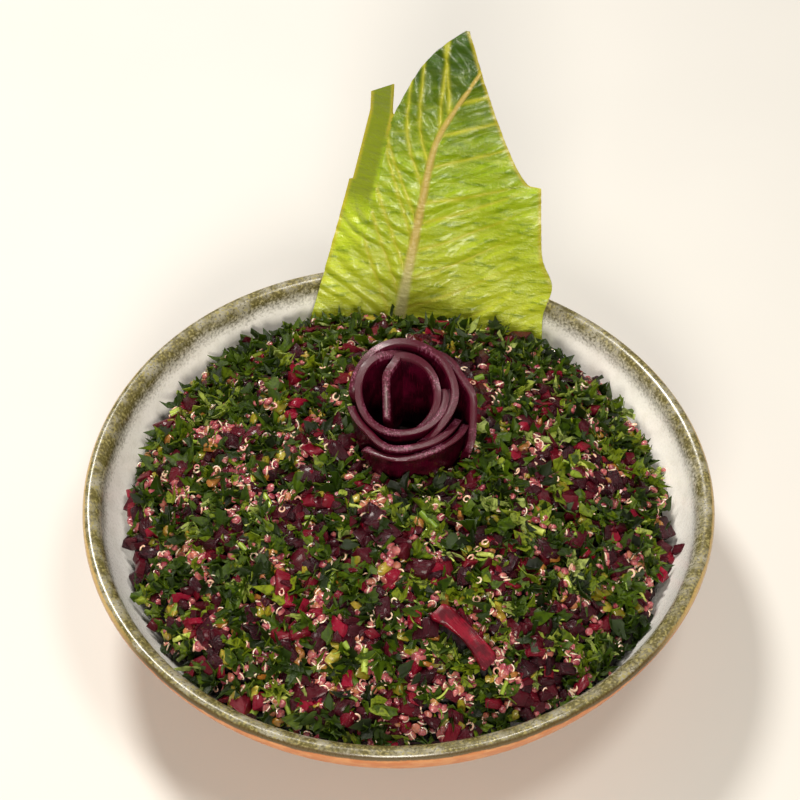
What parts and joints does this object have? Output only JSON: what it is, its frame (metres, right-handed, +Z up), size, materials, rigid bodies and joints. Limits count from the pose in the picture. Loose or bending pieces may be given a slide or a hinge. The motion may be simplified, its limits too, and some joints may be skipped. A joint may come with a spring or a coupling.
{
  "type": "bowl of tabbouleh salad",
  "caption": "Heaped tabbouleh of quinoa, parsley and beet in a shallow stoneware bowl, with a standing lettuce leaf and a rose of beet slices.",
  "frame": {"origin": "centre of the bowl's flat base, on the table", "axes": "+Z up, +Y to the back, where the lettuce leaf stands, +X to the right as seen from the front"},
  "size_m": [0.17, 0.1928, 0.1082],
  "materials": {
    "glazed_stoneware": "glossy speckled glaze, off-white inside, olive grey at the rim, rust brown outside",
    "salad_mix": "moist mix of rosy quinoa, chopped parsley and diced beet",
    "lettuce": "fresh, waxy and crinkled, paler at the rib",
    "beet_slice": "wet dark beetroot with pale, streaked cut edges",
    "beet": "wet cooked beetroot with pink fibre streaks"
  },
  "bodies": {
    "root": {"bowl": "glazed_stoneware", "salad": "salad_mix", "lettuce_leaf": "lettuce", "rose_petal_1": "beet_slice", "rose_petal_2": "beet_slice", "rose_petal_3": "beet_slice", "rose_petal_4": "beet_slice", "rose_petal_5": "beet_slice", "rose_petal_6": "beet_slice", "beet_strip": "beet"}
  },
  "joints": []
}
